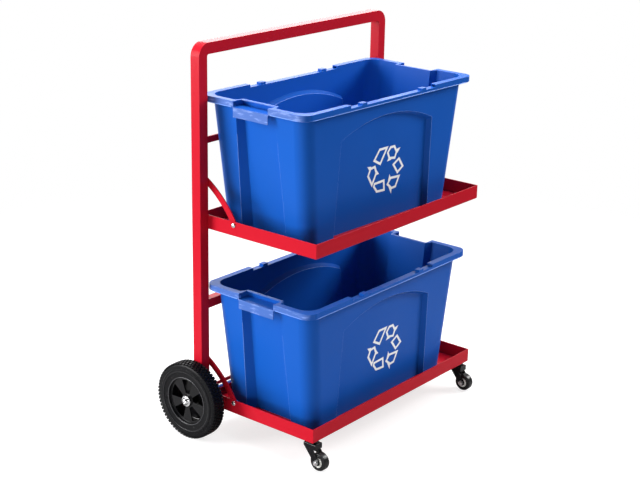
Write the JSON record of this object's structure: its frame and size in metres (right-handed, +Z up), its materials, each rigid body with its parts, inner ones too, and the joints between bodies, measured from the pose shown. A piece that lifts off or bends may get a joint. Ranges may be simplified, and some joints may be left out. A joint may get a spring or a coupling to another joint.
{
  "type": "recycling bin station",
  "caption": "Two-deck recycling cart: square-tube handle frame, folded trays holding lift-out boxes, large rear wheels and small swivel casters.",
  "frame": {"origin": "on the floor, under the middle of the cart's bounding box", "axes": "+Z up, +Y towards the handle frame at the back, +X to the right seen from the open front"},
  "size_m": [0.8862, 0.5282, 1.084],
  "materials": {
    "red_paint": "glossy powder coat",
    "blue_plastic": "satin moulded",
    "tyre_rubber": "matte, lugged tread",
    "hub_plastic": "satin moulded",
    "nylon": "satin",
    "bright_steel": "zinc plated",
    "chrome_cap": "plated",
    "black_steel": "black coated, semi-gloss",
    "caster_tread": "satin",
    "caster_core": "satin",
    "black_plastic": "satin"
  },
  "bodies": {
    "cart": {"handle_frame": "red_paint", "upper_crossbar": "red_paint", "lower_crossbar": "red_paint", "lower_shelf": "red_paint", "upper_shelf": "red_paint", "lower_left_brace": "red_paint", "lower_right_brace": "red_paint", "upper_left_brace": "red_paint", "upper_right_brace": "red_paint", "upright_plugs": "black_plastic", "brace_bolts": "bright_steel", "brace_nuts": "bright_steel", "rear_axle": "bright_steel", "axle_washers": "bright_steel", "left_axle_cap": "chrome_cap", "left_caster_stem": "bright_steel", "left_caster_stem_nut": "bright_steel", "left_caster_race": "black_steel", "right_axle_cap": "chrome_cap", "right_caster_stem": "bright_steel", "right_caster_stem_nut": "bright_steel", "right_caster_race": "black_steel"},
    "left_rear_wheel": {"left_tyre": "tyre_rubber", "left_hub": "hub_plastic", "left_hub_bush": "nylon"},
    "left_caster_swivel": {"left_caster_fork": "black_steel", "left_caster_ball_ring": "bright_steel", "left_caster_bolt": "bright_steel", "left_caster_nut": "bright_steel"},
    "left_caster_wheel": {"left_caster_core": "caster_core", "left_caster_tread": "caster_tread"},
    "right_rear_wheel": {"right_tyre": "tyre_rubber", "right_hub": "hub_plastic", "right_hub_bush": "nylon"},
    "right_caster_swivel": {"right_caster_fork": "black_steel", "right_caster_ball_ring": "bright_steel", "right_caster_bolt": "bright_steel", "right_caster_nut": "bright_steel"},
    "right_caster_wheel": {"right_caster_core": "caster_core", "right_caster_tread": "caster_tread"},
    "lower_box": {"lower_bin": "blue_plastic"},
    "upper_box": {"upper_bin": "blue_plastic"}
  },
  "joints": [
    {"name": "upper_box_lift", "type": "slide", "parent": "cart", "child": "upper_box", "axis": [0, -0.309, 0.9511], "range_m": [0, 0.45]},
    {"name": "lower_box_lift", "type": "slide", "parent": "cart", "child": "lower_box", "axis": [0, -0.309, 0.9511], "range_m": [0, 0.14]},
    {"name": "left_wheel_spin", "type": "hinge", "parent": "cart", "child": "left_rear_wheel", "pos_m": [-0.416, 0.1556, 0.1085], "axis": [1, 0, 0], "continuous": true},
    {"name": "left_caster_turn", "type": "hinge", "parent": "cart", "child": "left_caster_swivel", "pos_m": [-0.339, -0.2121, 0.075], "axis": [0, 0, 1], "continuous": true},
    {"name": "left_caster_spin", "type": "hinge", "parent": "left_caster_swivel", "child": "left_caster_wheel", "pos_m": [-0.339, -0.2391, 0.025], "axis": [1, 0, 0], "continuous": true},
    {"name": "right_wheel_spin", "type": "hinge", "parent": "cart", "child": "right_rear_wheel", "pos_m": [0.416, 0.1556, 0.1085], "axis": [1, 0, 0], "continuous": true},
    {"name": "right_caster_turn", "type": "hinge", "parent": "cart", "child": "right_caster_swivel", "pos_m": [0.339, -0.2121, 0.075], "axis": [0, 0, 1], "continuous": true},
    {"name": "right_caster_spin", "type": "hinge", "parent": "right_caster_swivel", "child": "right_caster_wheel", "pos_m": [0.339, -0.2391, 0.025], "axis": [1, 0, 0], "continuous": true}
  ]
}
